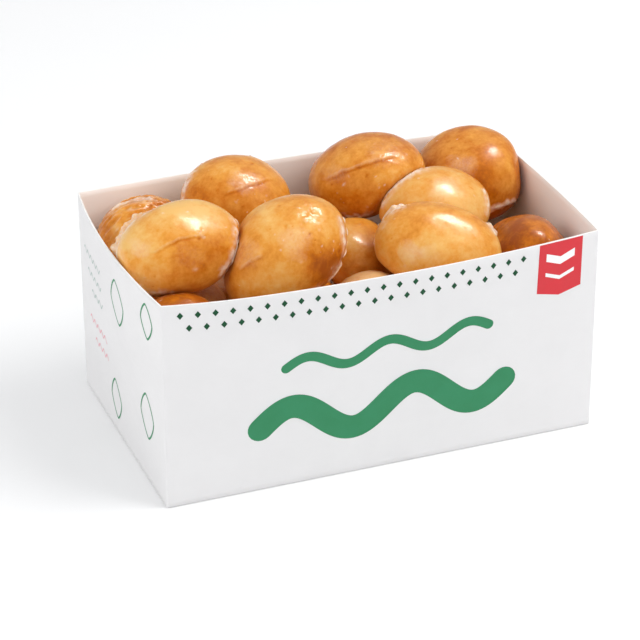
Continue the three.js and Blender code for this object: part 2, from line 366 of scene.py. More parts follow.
def build_tray(materials):
    """The folded board as one closed sheet, with its own finish outside, on the cut rim and inside."""
    rings = [(BASE_INSET_MM, 0.0), (SOFT_MM, 0.0)]
    rings += [(0.0, SOFT_MM + (HEIGHT_MM - 2 * SOFT_MM) * i / UP_STEPS) for i in range(UP_STEPS + 1)]
    rim_start = len(rings) - 1
    rings += [(SOFT_MM, HEIGHT_MM), (BOARD_MM - SOFT_MM, HEIGHT_MM)]
    rim_end = rim_start + 3
    inner_height = HEIGHT_MM - SOFT_MM - BOARD_MM
    rings += [(BOARD_MM, BOARD_MM + inner_height * i / UP_STEPS) for i in range(UP_STEPS, -1, -1)]
    points = [point for inset, z in rings for point in tray_ring(inset, z)]
    count = len(points) // len(rings)
    faces, indices = [], []
    for ring in range(len(rings) - 1):
        for i in range(count):
            here, beside = ring * count + i, ring * count + (i + 1) % count
            faces.append((here, beside, beside + count, here + count))
            indices.append(OUTSIDE if ring < rim_start else EDGE if ring < rim_end else INSIDE)
    faces.append(tuple(range(count - 1, -1, -1)))
    indices.append(OUTSIDE)
    last = (len(rings) - 1) * count
    faces.append(tuple(range(last, last + count)))
    indices.append(INSIDE)
    tray = mesh_piece("tray_board", points, faces, materials, indices)
    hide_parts("tray")


# Print on the walls: flat shapes in millimetres along and up a wall, laid just proud of the board

INK_LIFT_MM = 0.04
ROUND_END_STEPS, WAVE_STEPS, TAG_STEPS, OUTLINE_STEPS = 10, 90, 12, 48

# Small diamonds in staggered rows below the rim: half their size, their pitch along and between rows, how
# far the first row is below the rim, and where the rows end on each long wall.
DIAMOND_HALF_MM = (1.2, 1.5)
DIAMOND_PITCH_MM, DIAMOND_ROW_MM, DIAMOND_FIRST_MM, DIAMOND_ROWS = 6.6, 5.4, 4.6, 2
DIAMOND_ENDS_MM = {"front": (-83, 56), "back": (-83, 83)}

# Waves on the long walls: left and right end, height, rise, number of crests, tilt and width.
WAVES_MM = ((-42, 42, 54.5, 3.4, 2.5, 3.0, 4.2), (-52, 50, 28.5, 7.5, 2.0, 2.0, 10.5))

# The tag on the front: left, right, top, bottom and the depth of its point. Then the chevrons on it: middle,
# height, half width, rise and thickness.
TAG_MM = (62.6, 82.3, HEIGHT_MM - 0.4, 65.0, 2.4)
CHEVRONS_MM = ((72.4, 76.2, 6.4, 2.4, 3.4), (72.4, 69.6, 6.4, 2.4, 1.6))

# Outlined diamonds on the short walls: middle, height, half width and half height. Then the width of their
# line, and how far their sides bow: 1 is straight and 2 is round.
OUTLINES_MM = ((6, 66, 7.5, 10), (34, 30, 7.5, 10), (-8, 16, 6.5, 9), (40, 74, 5.5, 7.5))
OUTLINE_WIDTH_MM, OUTLINE_POWER = 0.9, 1.35

# Short wavy rules on the short walls: name, ink, number, the first one's middle, height and length, and the
# steps from each to the next. Then their pitch, rise, width and mesh steps.
SQUIGGLES_MM = (
    ("green", "faint_green", 3, (-30, 68, 26), (2, -8, -5)),
    ("pink", "pink", 2, (-28, 38, 24), (3, -8, -6)),
)
SQUIGGLE_PITCH_MM, SQUIGGLE_RISE_MM, SQUIGGLE_WIDTH_MM, SQUIGGLE_STEPS = 5.0, 1.1, 0.7, 48


def stroke(path, width, closed=False):
    """A line of ink along a path, with round ends."""
    path = np.asarray(path, float)
    ahead = np.roll(path, -1, 0) - np.roll(path, 1, 0)
    if not closed:
        ahead[0], ahead[-1] = path[1] - path[0], path[-1] - path[-2]
    ahead /= np.linalg.norm(ahead, axis=1)[:, None]
    side = np.stack([-ahead[:, 1], ahead[:, 0]], 1) * width / 2
    points = [*(path + side), *(path - side)]
    count = len(path)
    turns = count if closed else count - 1
    faces = [(i + count, (i + 1) % count + count, (i + 1) % count, i) for i in range(turns)]
    if not closed:
        for end, way in ((0, -1), (count - 1, 1)):
            start = math.atan2(*(-way * side[end])[::-1])
            round_end = [start + math.pi * i / ROUND_END_STEPS for i in range(ROUND_END_STEPS + 1)]
            faces.append(tuple(range(len(points), len(points) + len(round_end))))
            points += [path[end] + width / 2 * np.array([math.cos(a), math.sin(a)]) for a in round_end]
    return points, faces


def diamond(run, z, half_width, half_height):
    corners = [(run - half_width, z), (run, z - half_height), (run + half_width, z), (run, z + half_height)]
    return [np.array(c) for c in corners], [(0, 1, 2, 3)]


def diamond_line(run, z, half_width, half_height):
    """The outline of a diamond with softly bowed sides."""
    path = []
    for i in range(OUTLINE_STEPS):
        angle = 2 * math.pi * i / OUTLINE_STEPS
        c, s = math.cos(angle), math.sin(angle)
        reach = (abs(c) ** OUTLINE_POWER + abs(s) ** OUTLINE_POWER) ** (-1 / OUTLINE_POWER)
        path.append((run + half_width * reach * c, z + half_height * reach * s))
    return stroke(path, OUTLINE_WIDTH_MM, closed=True)


def wave(left, right, z, rise, crests, tilt, width, steps=WAVE_STEPS):
    """A wavy band of ink from left to right."""
    path = []
    for i in range(steps + 1):
        share = i / steps
        lift = rise * math.sin(2 * math.pi * crests * share) + tilt * (share - 0.5)
        path.append((left + (right - left) * share, z + lift))
    return stroke(path, width)


def squiggle(run, z, length):
    """A short thin wavy rule."""
    crests = length / SQUIGGLE_PITCH_MM
    return wave(run - length / 2, run + length / 2, z, SQUIGGLE_RISE_MM, crests, 0, SQUIGGLE_WIDTH_MM,
                SQUIGGLE_STEPS)


def pennant(left, right, top, bottom, point):
    """A hanging tag with a shallow point at its foot."""
    points, faces = [], []
    for i in range(TAG_STEPS + 1):
        share = i / TAG_STEPS
        foot = bottom - point * (1 - abs(2 * share - 1))
        for j in range(TAG_STEPS + 1):
            points.append(np.array([left + (right - left) * share, foot + (top - foot) * j / TAG_STEPS]))
    for i in range(TAG_STEPS):
        for j in range(TAG_STEPS):
            here = i * (TAG_STEPS + 1) + j
            faces.append((here, here + TAG_STEPS + 1, here + TAG_STEPS + 2, here + 1))
    return points, faces


def chevron(run, z, half, rise, thick):
    """A broad V."""
    foot = [(run - half, z + rise), (run, z), (run + half, z + rise)]
    points = [np.array(p) for p in foot] + [np.array((x, y + thick)) for x, y in foot]
    return points, [(0, 1, 4, 3), (1, 2, 5, 4)]


def rim_diamonds(left, right):
    """Small diamonds in staggered rows below the rim."""
    shapes = []
    for row in range(DIAMOND_ROWS):
        z = HEIGHT_MM - DIAMOND_FIRST_MM - row * DIAMOND_ROW_MM
        run = left + (row % 2) * DIAMOND_PITCH_MM / 2
        while run <= right:
            shapes.append(diamond(run, z, *DIAMOND_HALF_MM))
            run += DIAMOND_PITCH_MM
    return shapes


def print_on(name, side, shapes, material, lift=INK_LIFT_MM):
    """One printed piece on a wall, from flat shapes."""
    points, faces = [], []
    for shape_points, shape_faces in shapes:
        faces += [tuple(len(points) + i for i in face) for face in shape_faces]
        points += [wall_point(side, run, z, lift) for run, z in shape_points]
    mesh_piece(name, points, faces, [material])


def build_print(inks):
    """A generic design: diamonds at the rim, waves on the long walls and a red tag on the front."""
    for side in ("front", "back"):
        print_on(f"{side}_diamonds", side, rim_diamonds(*DIAMOND_ENDS_MM[side]), inks["dark_green"])
        print_on(f"{side}_waves", side, [wave(*row) for row in WAVES_MM], inks["green"])
    print_on("tag", "front", [pennant(*TAG_MM)], inks["red"])
    print_on("tag_marks", "front", [chevron(*row) for row in CHEVRONS_MM], inks["white"], 2 * INK_LIFT_MM)
    for side in ("left", "right"):
        print_on(f"{side}_diamond_lines", side, [diamond_line(*row) for row in OUTLINES_MM], inks["green"])
        for name, ink, count, first, step in SQUIGGLES_MM:
            rules = [squiggle(*(a + i * b for a, b in zip(first, step))) for i in range(count)]
            print_on(f"{side}_{name}_squiggles", side, rules, inks[ink])


# Doughnuts

# Marks on the side that shows. Places are on a doughnut's outline as seen, from -1 to 1 across and up.
# Creases and lips have a strength and a path, and skirts a width in millimetres and a path. Wrinkles have
# an amount. The others have a place, a radius and, apart from flecks, an amount.
MARKS = {
    "doughnut_top_1": {
        "tone": -0.02,
        "creases": [(1.0, [(-0.46, -0.20), (-0.25, -0.08), (-0.07, 0.06), (0.18, 0.16), (0.44, 0.21),
                           (0.62, 0.30)])],
        "skirts": [(3.2, [(-1.0, -0.30), (-0.99, 0.05), (-0.90, 0.40), (-0.70, 0.68), (-0.48, 0.84)]),
                   (1.7, [(0.78, 0.66), (0.93, 0.44), (0.99, 0.16), (0.95, -0.12), (0.83, -0.40),
                          (0.62, -0.66)]),
                   (0.6, [(-0.62, -0.78), (-0.30, -0.90), (0.05, -0.92)])],
        "films": [(-0.58, -0.03, 0.22, 0.22), (0.20, -0.20, 0.42, 0.08)],
        # The last patch is painted light: paler at the top, in the broad tail of the highlight.
        "painted_light_and_browning": [(0.25, -0.55, 0.55, 0.20), (-0.78, 0.15, 0.40, -0.20), (0.75, 0.0, 0.30, 0.24),
                    (0.10, 0.80, 0.45, -0.28)],
        "flecked": [(0.40, 0.26, 0.10), (-0.38, -0.80, 0.26)],
        "swells": [(0.68, 0.70, 0.36, -0.8)],
    },
    "doughnut_top_2": {
        "tone": 0.08,
        "wrinkled": [(1.0,)],
        "skirts": [(1.5, [(-0.75, 0.55), (-0.40, 0.86), (0.0, 0.97), (0.4, 0.88)])],
    },
    "doughnut_top_3": {
        "tone": 0.10,
        "creases": [(1.0, [(-0.22, -0.02), (0.02, 0.09), (0.27, 0.20), (0.52, 0.32), (0.78, 0.44)])],
        "flecked": [(0.24, 0.0, 0.45), (-0.6, 0.6, 0.3)],
        "skirts": [(1.2, [(-0.97, -0.25), (-0.93, 0.25), (-0.70, 0.68)])],
        "rough": [(0.20, 0.34, 0.30, 0.7)],
        "films": [(0.18, 0.30, 0.30, 0.20)],
        # The second patch is painted shade: darker on the left side, away from the light.
        "painted_light_and_browning": [(0.0, -0.45, 0.7, 0.04), (-0.75, 0.1, 0.4, 0.30)],
    },
    "doughnut_top_4": {
        "tone": 0.0,
        "creases": [(1.1, [(-0.74, -0.30), (-0.58, -0.17), (-0.44, -0.10), (-0.30, -0.03)])],
        "skirts": [(1.0, [(0.80, 0.66), (0.93, 0.42), (0.97, 0.15), (0.92, -0.10)]),
                   (0.8, [(0.93, -0.10), (0.86, -0.34), (0.74, -0.56)]),
                   (1.0, [(0.02, -0.60), (0.36, -0.55), (0.60, -0.60)])],
        "flecked": [(0.10, 0.45, 0.5), (0.55, 0.05, 0.35)],
        "rough": [(0.42, 0.62, 0.24, 1.3)],
        "films": [(0.17, 0.18, 0.34, 0.20), (-0.62, 0.02, 0.30, 0.14)],
        "painted_light_and_browning": [(0.76, -0.12, 0.34, 0.44), (0.62, -0.36, 0.32, 0.36), (0.45, 0.0, 0.3, 0.12),
                    (-0.42, -0.42, 0.3, 0.10)],
    },
    "doughnut_top_5": {
        "tone": 0.20,
        "creases": [(1.3, [(-0.84, -0.19), (-0.55, -0.06), (-0.31, 0.07), (-0.05, 0.19), (0.28, 0.29),
                           (0.56, 0.43)])],
        "skirts": [(1.1, [(-0.60, -0.66), (-0.31, -0.83), (0.15, -0.93)])],
        "rough": [(0.30, 0.42, 0.34, 0.7)],
        "films": [(0.25, 0.52, 0.42, 0.10), (-0.55, 0.0, 0.30, 0.12)],
        # The first patch is partly real browning and partly painted shade; the second is painted light on
        # the lit right side.
        "painted_light_and_browning": [(-0.45, -0.55, 0.55, 0.18), (0.6, -0.05, 0.45, -0.44)],
        "flecked": [(-0.1, -0.3, 0.5)],
    },
    "doughnut_top_6": {
        "tone": -0.03,
        "skirts": [(1.0, [(-0.96, -0.13), (-0.80, 0.38), (-0.52, 0.72), (-0.22, 0.91), (0.0, 0.96)]),
                   (0.6, [(0.82, 0.48), (0.94, 0.12), (0.93, -0.27)])],
        "films": [(0.15, 0.45, 0.40, 0.18)],
        # The second patch is painted light: paler on the lit right side.
        "painted_light_and_browning": [(0.2, 0.1, 0.8, -0.08), (0.75, 0.2, 0.35, -0.18)],
    },
    "doughnut_top_7": {
        "tone": -0.02,
        "creases": [(0.5, [(-0.60, 0.20), (-0.66, 0.02), (-0.64, -0.22), (-0.50, -0.42)])],
        "skirts": [(1.4, [(-0.94, 0.36), (-0.84, 0.62), (-0.66, 0.84), (-0.45, 0.92)]),
                   (1.1, [(0.78, 0.60), (0.88, 0.40), (0.93, 0.24)])],
        "films": [(-0.48, -0.08, 0.24, 0.20), (-0.15, -0.15, 0.30, 0.10)],
        "painted_light_and_browning": [(-0.25, -0.15, 0.35, -0.12), (-0.35, 0.62, 0.25, 0.10)],
        "swells": [(0.14, 0.48, 0.36, -0.6)],
    },
    "doughnut_top_8": {
        "tone": 0.32,
        "lips": [(1.0, [(0.30, -0.82), (0.45, -0.76), (0.56, -0.68), (0.68, -0.66), (0.80, -0.56),
                        (0.92, -0.50)])],
        "swells": [(-0.15, 0.10, 0.34, -0.7), (0.80, 0.48, 0.42, 0.7)],
        # This pale patch is partly glaze film and partly a painted dull reflection on the flattened spot.
        "films": [(-0.15, 0.08, 0.30, 0.26)],
        # The first patch is painted shade: darker low on the right, which faces the tray's wall.
        "painted_light_and_browning": [(0.35, -0.30, 0.6, 0.12), (0.2, 0.7, 0.5, -0.10)],
    },
    "doughnut_middle_1": {"tone": 0.12, "painted_light_and_browning": [(0.55, 0.0, 0.5, 0.34), (-0.3, 0.5, 0.5, -0.22)]},
    "doughnut_middle_2": {
        # Its dark tone is partly painted shade, for a doughnut that sits in shade.
        "tone": 0.58,
        # The paler patch is painted light, on the right half where light falls.
        "painted_light_and_browning": [(0.50, 0.55, 0.42, -0.26)],
        "swells": [(-0.75, 0.62, 0.55, -3.2), (0.85, 0.62, 0.40, -1.0)],
    },
    "doughnut_middle_3": {"films": [(0.0, 0.85, 0.9, 0.22)]},
    # Painted shade: the dark tone and the darker patch on the top, where the doughnut above shades it.
    "doughnut_middle_4": {"tone": 0.46, "painted_light_and_browning": [(0.1, 0.9, 0.6, 0.22)], "flecked": [(0.0, 0.7, 0.5)]},
    "doughnut_under_1": {"tone": 0.10, "films": [(0.70, 0.55, 0.45, 0.30)]},
    "doughnut_under_3": {"films": [(-0.10, -0.15, 0.45, 0.60)]},
}
# Unevenness of every crust: pitches in millimetres, with the height of the relief or the browning at each.
RELIEF_MM = ((15.0, 0.42), (6.5, 0.16), (2.6, 0.045))
TONES = ((21.0, 0.20), (9.0, 0.15), (3.6, 0.08))
PLAIN_BROWN, BROWN_SPREAD = 0.34, 0.05

# How much of the room to the next solid a surface may take, and how far away that solid is looked for.
ROOM_SHARE, ROOM_REACH_MM = 0.6, 4.0

# How near points of the solid are one point, before it is made smooth.
WELD_MM = 0.02

# How far the crust is turned to the view where marks fade in, where an edge of dried glaze stands, and where
# that edge's pale band runs.
SHOWN_FACING, EDGE_FACING, BAND_FACING = (-0.35, 0.0), (-0.32, 0.08), (0.12, 0.36)

# An edge of dried glaze: its mesh steps, how deep it is rooted and half its thickness at root and tip.
EDGE_STEP_MM, EDGE_ROWS, EDGE_ROOT_MM, EDGE_THICK_MM, EDGE_TIP_MM = 0.35, 5, 0.6, 0.45, 0.10
EDGE_BROWN = 0.3

# Marks: heights and depths in millimetres, and how far they brown the crust or whiten it with sugar.
# In a crease the brown is painted shade in the groove, and the white partly a painted highlight on the lip.
CREASE = {"step": 0.42, "groove": 0.14, "brown_and_painted_light": 0.13, "brown_below": 0.10, "white": 0.16}
SKIRT = {"height": 0.35, "white": 0.35, "white_by_width": 0.4, "whitest": 0.95, "halo": 0.16}
# Below a lip the brown is partly a browner underside and partly painted shade.
LIP = {"height": 0.9, "white": 0.85, "brown_and_painted_light": 0.5}
# On rough patches the white is partly sugar and partly painted glints.
ROUGH = {"height": 0.17, "white": 0.25}
WRINKLE = {"height": 0.65, "brown_and_painted_light": 0.12, "white": 0.34}
UNSEEN_SKIRT = {"height": 0.8, "white": 0.75, "halo": 0.22}

# Kinds of fleck: height, whiteness and browning of a blister, a thin crumb, a sugar crumb and a pore. Then
# how many are on a whole doughnut and on a flecked part of one.
FLECKS = ((0.3, 0.0, 0.0), (0.25, 0.25, 0.0), (0.35, 0.6, 0.0), (-0.35, 0.0, 0.28))
FLECKS_ALL_OVER, FLECKS_ON_PART = 22, 16


def doughnut_mesh(node, levels):
    """A finer, smooth copy of a doughnut's solid, and how many millimetres smoothing took off it."""
    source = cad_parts[node]
    rough = link(bpy.data.objects.new(f"{node}_rough", source.data.copy()))
    weld = rough.modifiers.new("weld", "WELD")
    weld.merge_threshold = WELD_MM * MM
    smooth = rough.modifiers.new("smooth", "SUBSURF")
    smooth.levels = smooth.render_levels = levels
    evaluated = rough.evaluated_get(bpy.context.evaluated_depsgraph_get())
    mesh = bpy.data.meshes.new_from_object(evaluated)
    mesh.materials.clear()
    lost = np.mean([(a - b) / 2 for a, b in zip(source.dimensions, evaluated.dimensions)]) / MM
    bpy.data.objects.remove(rough)
    return mesh, lost


def read_points(mesh):
    """A mesh's points in millimetres, and its normals."""
    points, normals = np.zeros(len(mesh.vertices) * 3), np.zeros(len(mesh.vertices) * 3)
    mesh.vertices.foreach_get("co", points)
    mesh.vertex_normals.foreach_get("vector", normals)
    return points.reshape(-1, 3) / MM, normals.reshape(-1, 3)


def seen_places(points):
    """Each point's place on the outline as seen, from -1 to 1, and half the outline's size."""
    flat = np.stack([points @ RIGHT, points @ UP], 1)
    low, high = flat.min(0), flat.max(0)
    half = (high - low) / 2
    return (flat - (low + high) / 2) / half, half


def path_measures(places, half, path):
    """For each place: its distance from a path in millimetres, which side it is on, and how far along."""
    path = np.asarray(path) * half
    places = places * half
    best = np.full(len(places), 1e9)
    side, along = np.zeros(len(places)), np.zeros(len(places))
    lengths = np.linalg.norm(np.diff(path, axis=0), axis=1)
    starts = np.concatenate([[0], np.cumsum(lengths)])
    for i, length in enumerate(lengths):
        way = (path[i + 1] - path[i]) / length
        off = places - path[i]
        share = np.clip(off @ way, 0, length)
        distance = np.linalg.norm(off - share[:, None] * way, axis=1)
        nearer = distance < best
        best[nearer] = distance[nearer]
        side[nearer] = np.sign(way[0] * off[:, 1] - way[1] * off[:, 0])[nearer]
        along[nearer] = ((starts[i] + share) / starts[-1])[nearer]
    return best, side, along


def end_fade(along, share=0.2):
    return smooth_step(along, 0, share) * smooth_step(1 - along, 0, share)


def smoothed(path, rounds=2):
    """A path with its corners cut, so that it runs in a curve."""
    path = np.asarray(path, float)
    for _ in range(rounds):
        cut = [path[0]]
        for a, b in zip(path[:-1], path[1:]):
            cut += [0.75 * a + 0.25 * b, 0.25 * a + 0.75 * b]
        path = np.array([*cut, path[-1]])
    return path


def unit(ways):
    return ways / np.linalg.norm(ways, axis=1)[:, None]


def evened(values, rounds=3):
    """Values along a line, each drawn towards its neighbours."""
    for _ in range(rounds):
        inner = 0.25 * values[:-2] + 0.5 * values[1:-1] + 0.25 * values[2:]
        values = np.concatenate([values[:1], inner, values[-1:]])
    return values


def free_reach(places, ways, reach, others):
    """How far each place may reach out along its way before it meets another solid."""
    free = reach.copy()
    for i, (place, way) in enumerate(zip(places, ways)):
        hit = others.ray_cast(Vector(place * MM), Vector(way), 2 * reach[i] * MM)
        if hit[0] is not None:
            free[i] = min(reach[i], ROOM_SHARE * hit[3] / MM)
    return free


def glaze_edge(places, ways, width, others, seed):
    """A thin ragged sheet of dried glaze along a line: its points, faces and whiteness."""
    count = len(places)
    ragged = 0.70 + 0.60 * ripple(places, 2.0, seed + 1) + 0.50 * ripple(places, 6.5, seed + 2)
    reach = width * np.clip(ragged, 0.08, 1.4) * end_fade(np.linspace(0, 1, count), 0.2)
    reach = free_reach(places, ways, reach, others)
    across = unit(np.cross(ways, np.gradient(places, axis=0)))
    points, white = [], []
    for face in (1, -1):
        for row in range(EDGE_ROWS + 1):
            share = row / EDGE_ROWS
            out = -EDGE_ROOT_MM * (1 - share) + reach * share
            middle = places + ways * out[:, None]
            lump = 0.35 * width * ripple(middle, 5.0, seed + 3) + 0.08 * ripple(middle, 1.3, seed + 4)
            half_thick = EDGE_TIP_MM + (EDGE_THICK_MM - EDGE_TIP_MM) * (1 - share) ** 1.5
            points.append(middle + across * (share * lump + face * half_thick)[:, None])
            white.append(0.50 + 0.24 * share + 0.22 * ripple(middle, 2.2, seed + 5))
    return np.concatenate(points), sheet_faces(EDGE_ROWS + 1, count), np.concatenate(white)


def sheet_faces(rows, columns):
    """The faces of a closed sheet: two grids of the same size, the second behind the first."""
    behind = rows * columns
    faces = []
    for row in range(rows - 1):
        for i in range(columns - 1):
            here = row * columns + i
            quad = (here, here + 1, here + columns + 1, here + columns)
            faces.append(quad)
            faces.append(tuple(behind + corner for corner in reversed(quad)))
    around = list(range(columns)) + [row * columns + columns - 1 for row in range(1, rows)]
    around += [(rows - 1) * columns + i for i in range(columns - 2, -1, -1)]
    around += [row * columns for row in range(rows - 2, 0, -1)]
    for a, b in zip(around, around[1:] + around[:1]):
        faces.append((b, a, behind + a, behind + b))
    return faces


def write_tones(mesh, brown_and_painted_light, sugar_and_painted_highlights):
    """Stores browning and dried sugar, with painted light, shade and highlights, on a mesh's points, where
    the crust's material reads them.
    """
    for name, values in (("brown_and_painted_light", brown_and_painted_light), ("sugar_and_painted_highlights", sugar_and_painted_highlights)):
        attribute = mesh.attributes.new(name, "FLOAT", "POINT")
        attribute.data.foreach_set("value", np.clip(values, 0, 1).astype(np.float32))


class Surface:
    """A doughnut's surface while it is being shaped: points, relief, browning and dried sugar, both with
    painted light and shade.
    """

    def __init__(self, mesh, lost, seed):
        self.mesh, self.seed = mesh, seed
        self.points, self.normals = read_points(mesh)
        self.relief = np.full(len(self.points), lost)
        self.brown_and_painted_light = np.full(len(self.points), PLAIN_BROWN)
        self.sugar_and_painted_highlights = np.zeros(len(self.points))
        self.places, self.half = seen_places(self.points)
        self.shown = smooth_step(self.normals @ BACK, *SHOWN_FACING)
        self.edges = []

    def noise(self, pitch, layer):
        """Random relief from -1 to 1 over the surface. Each layer has a pattern of its own."""
        return ripple(self.points, pitch, self.seed + layer)

    def away(self, across, up, radius):
        """How far each point is from a place as seen, in radii."""
        return np.linalg.norm((self.places - (across, up)) / radius, axis=1)

    def uneven(self):
        for i, (pitch, height) in enumerate(RELIEF_MM):
            self.relief += height * self.noise(pitch, i)
        for i, (pitch, amount) in enumerate(TONES):
            self.brown_and_painted_light += amount * self.noise(pitch, 20 + i)

    def crease(self, strength, path):
        """A fold in the dough: a low uneven step along a path, browner below, with painted shade in its
        groove and a pale lip, partly sugar and partly a painted highlight.
        """
        distance, side, along = path_measures(self.places, self.half, smoothed(path))
        fade = strength * end_fade(along) * self.shown
        signed = distance * side + 0.5 * self.noise(3.0, 30)
        uneven = 0.75 + 0.35 * self.noise(5.0, 31)
        near = bell(distance, 4.5) * fade
        self.relief += CREASE["step"] * smooth_step(signed, -0.55, 0.55) * near * uneven
        self.relief -= CREASE["groove"] * bell(signed + 0.4, 0.5) * fade * uneven
        self.brown_and_painted_light += CREASE["brown_and_painted_light"] * bell(signed + 0.3, 0.6) * fade
        self.brown_and_painted_light += CREASE["brown_below"] * near * (signed < 0)
        self.sugar_and_painted_highlights += CREASE["white"] * bell(signed - 0.6, 0.5) * fade * uneven

    def skirt(self, width, path):
        """Dried glaze by the outline: a pale band along a path, and the line of its ragged edge."""
        path = smoothed(path, 3)
        line = evened(self.points[self.points_by(path, *BAND_FACING)])[::2]
        away = np.stack([((self.points - place) ** 2).sum(1) for place in line])
        distance, along = np.sqrt(away.min(0)), away.argmin(0) / (len(line) - 1)
        ragged = np.clip(0.70 + 0.80 * self.noise(1.5, 41) + 0.45 * self.noise(5.0, 42), 0.05, 1.4)
        there = end_fade(along, 0.15) * ragged
        white = min(SKIRT["whitest"], SKIRT["white"] + SKIRT["white_by_width"] * width)
        self.relief += SKIRT["height"] * bell(distance, 1.2) * there
        self.sugar_and_painted_highlights += white * bell(distance, 2.2) * there
        self.sugar_and_painted_highlights += SKIRT["halo"] * bell(distance, 3.0 + width) * there
        self.edges.append((width, self.points_by(path, *EDGE_FACING)))

    def points_by(self, path, low, high):
        """The points nearest to even steps along a path, of those turned to the view between two shares."""
        path = path * self.half
        lengths = np.concatenate([[0], np.cumsum(np.linalg.norm(np.diff(path, axis=0), axis=1))])
        count = max(12, int(lengths[-1] / EDGE_STEP_MM))
        steps = np.linspace(0, lengths[-1], count)
        sampled = np.stack([np.interp(steps, lengths, path[:, i]) for i in (0, 1)], 1)
        facing = self.normals @ BACK
        allowed = np.flatnonzero((facing > low) & (facing < high))
        flat = self.places[allowed] * self.half
        return [allowed[np.argmin(((flat - place) ** 2).sum(1))] for place in sampled]

    def edge_line(self, nearest):
        """Places and outward ways along a line of points on the finished surface."""
        moved = self.points + self.normals * self.relief[:, None]
        return evened(moved[nearest]), unit(evened(self.normals[nearest]))

    def lip(self, strength, path):
        """A ragged lip of dried glaze across the crust, dark below: a browner underside, partly painted
        shade.
        """
        distance, side, along = path_measures(self.places, self.half, smoothed(path))
        fade = strength * end_fade(along, 0.1) * self.shown
        signed = distance * side + 0.7 * self.noise(2.2, 81)
        ragged = 0.75 + 0.4 * self.noise(1.3, 80)
        self.relief += LIP["height"] * bell(signed - 0.3, 0.8) * fade * ragged
        self.sugar_and_painted_highlights += LIP["white"] * bell(signed - 0.4, 0.8) * fade * ragged
        self.brown_and_painted_light += LIP["brown_and_painted_light"] * smooth_step(-signed, 0.2, 1.2) * bell(distance, 9.0) * fade

    def rough(self, across, up, radius, amount):
        """A patch of broken, pitted glaze, its raised bits whitened: partly sugar and partly painted glints
        of the highlight.
        """
        there = np.exp(-self.away(across, up, radius) ** 4) * self.shown * amount
        pits = self.noise(1.5, 70) + 0.6 * self.noise(0.9, 71)
        self.relief += ROUGH["height"] * pits * there
        self.sugar_and_painted_highlights += ROUGH["white"] * np.clip(pits - 0.3, 0, 1) * there

    def film(self, across, up, radius, amount):
        """A thin pale patch of glaze with an uneven edge; on top_8 partly a painted dull reflection."""
        away = self.away(across, up, radius) + 0.3 * self.noise(4.0, 45) + 0.12 * self.noise(1.6, 46)
        self.sugar_and_painted_highlights += amount * smooth_step(1.3 - away, 0, 1.0) * self.shown

    def painted_light_and_browning(self, across, up, radius, amount):
        """A browner patch, or a paler one where the amount is below nought: some are real browning, some
        painted shade and painted light.
        """
        self.brown_and_painted_light += amount * bell(self.away(across, up, radius)) * self.shown

    def swell(self, across, up, radius, height):
        """A gentle bulge, or a flatter place where its height is below nought."""
        self.relief += height * bell(self.away(across, up, radius)) * self.shown

    def wrinkle(self, amount):
        """Rough crust: ridges with sugar on their tops."""
        way = 0.8 * RIGHT + 0.6 * UP
        drawn = self.points - np.outer(self.points @ way, 0.5 * way)
        ridges = 1 - np.abs(ripple(drawn, 3.0, self.seed + 60)) * 2
        ridges += 0.5 * (1 - np.abs(ripple(drawn, 1.7, self.seed + 61)) * 2)
        self.relief += amount * WRINKLE["height"] * (ridges - 1.2) * self.shown
        self.brown_and_painted_light += amount * WRINKLE["brown_and_painted_light"] * (1 - ridges) * self.shown
        self.sugar_and_painted_highlights += amount * WRINKLE["white"] * smooth_step(ridges, 0.7, 1.5) * self.shown

    def flecks(self, chance, count, across=0.0, up=0.0, radius=2.0):
        """Small uneven blisters and crumbs of sugar, over the whole surface or a part that shows."""
        inside = self.away(across, up, radius) < 1
        open_to = np.flatnonzero(inside & ((self.shown > 0.5) | (radius > 1)))
        for place in chance.choice(open_to, min(count, len(open_to)), replace=False):
            size = 0.28 + 0.5 * chance.random() ** 2
            off = self.points - self.points[place]
            off += np.outer(off @ chance.normal(size=3), chance.normal(size=3)) * 0.35
            spot = bell(np.linalg.norm(off, axis=1), size)
            height, white, dark = chance.choice(FLECKS)
            self.relief += height * chance.uniform(0.5, 1.5) * size * spot
            self.sugar_and_painted_highlights += white * spot
            self.brown_and_painted_light += dark * spot

    def unseen_skirt(self, chance):
        """Dried glaze here and there below the widest section, on the sides that no mark describes."""
        middle = self.points.mean(0)
        _, axes = np.linalg.eigh(np.cov((self.points - middle).T))
        axes[:, 0] *= np.sign(axes[2, 0])
        off = (self.points - middle) @ axes
        level = off[:, 0] + chance.uniform(3.0, 6.5)
        level += 2.2 * self.noise(11.0, 50) + 0.8 * self.noise(3.5, 53)
        turn = np.arctan2(off[:, 2], off[:, 1])
        broken = np.sin(turn * 3 + chance.uniform(0, 6)) + 0.8 * self.noise(7.0, 51)
        ragged = np.clip(0.6 + 0.5 * self.noise(1.8, 52), 0.1, 1.2)
        there = smooth_step(broken, 0.1, 0.7) * (1 - self.shown)
        edge = bell(level, 0.7) * there * ragged
        self.relief += UNSEEN_SKIRT["height"] * edge
        self.sugar_and_painted_highlights += UNSEEN_SKIRT["white"] * edge + UNSEEN_SKIRT["halo"] * bell(level, 2.5) * there

    def keep_clear(self, others):
        """Holds the relief back where another solid is close."""
        room = np.empty(len(self.points))
        for i, point in enumerate(self.points):
            found = others.find_nearest(Vector(point * MM), ROOM_REACH_MM * MM)
            room[i] = found[3] / MM if found[0] is not None else ROOM_REACH_MM
        self.relief = np.minimum(self.relief, ROOM_SHARE * room)

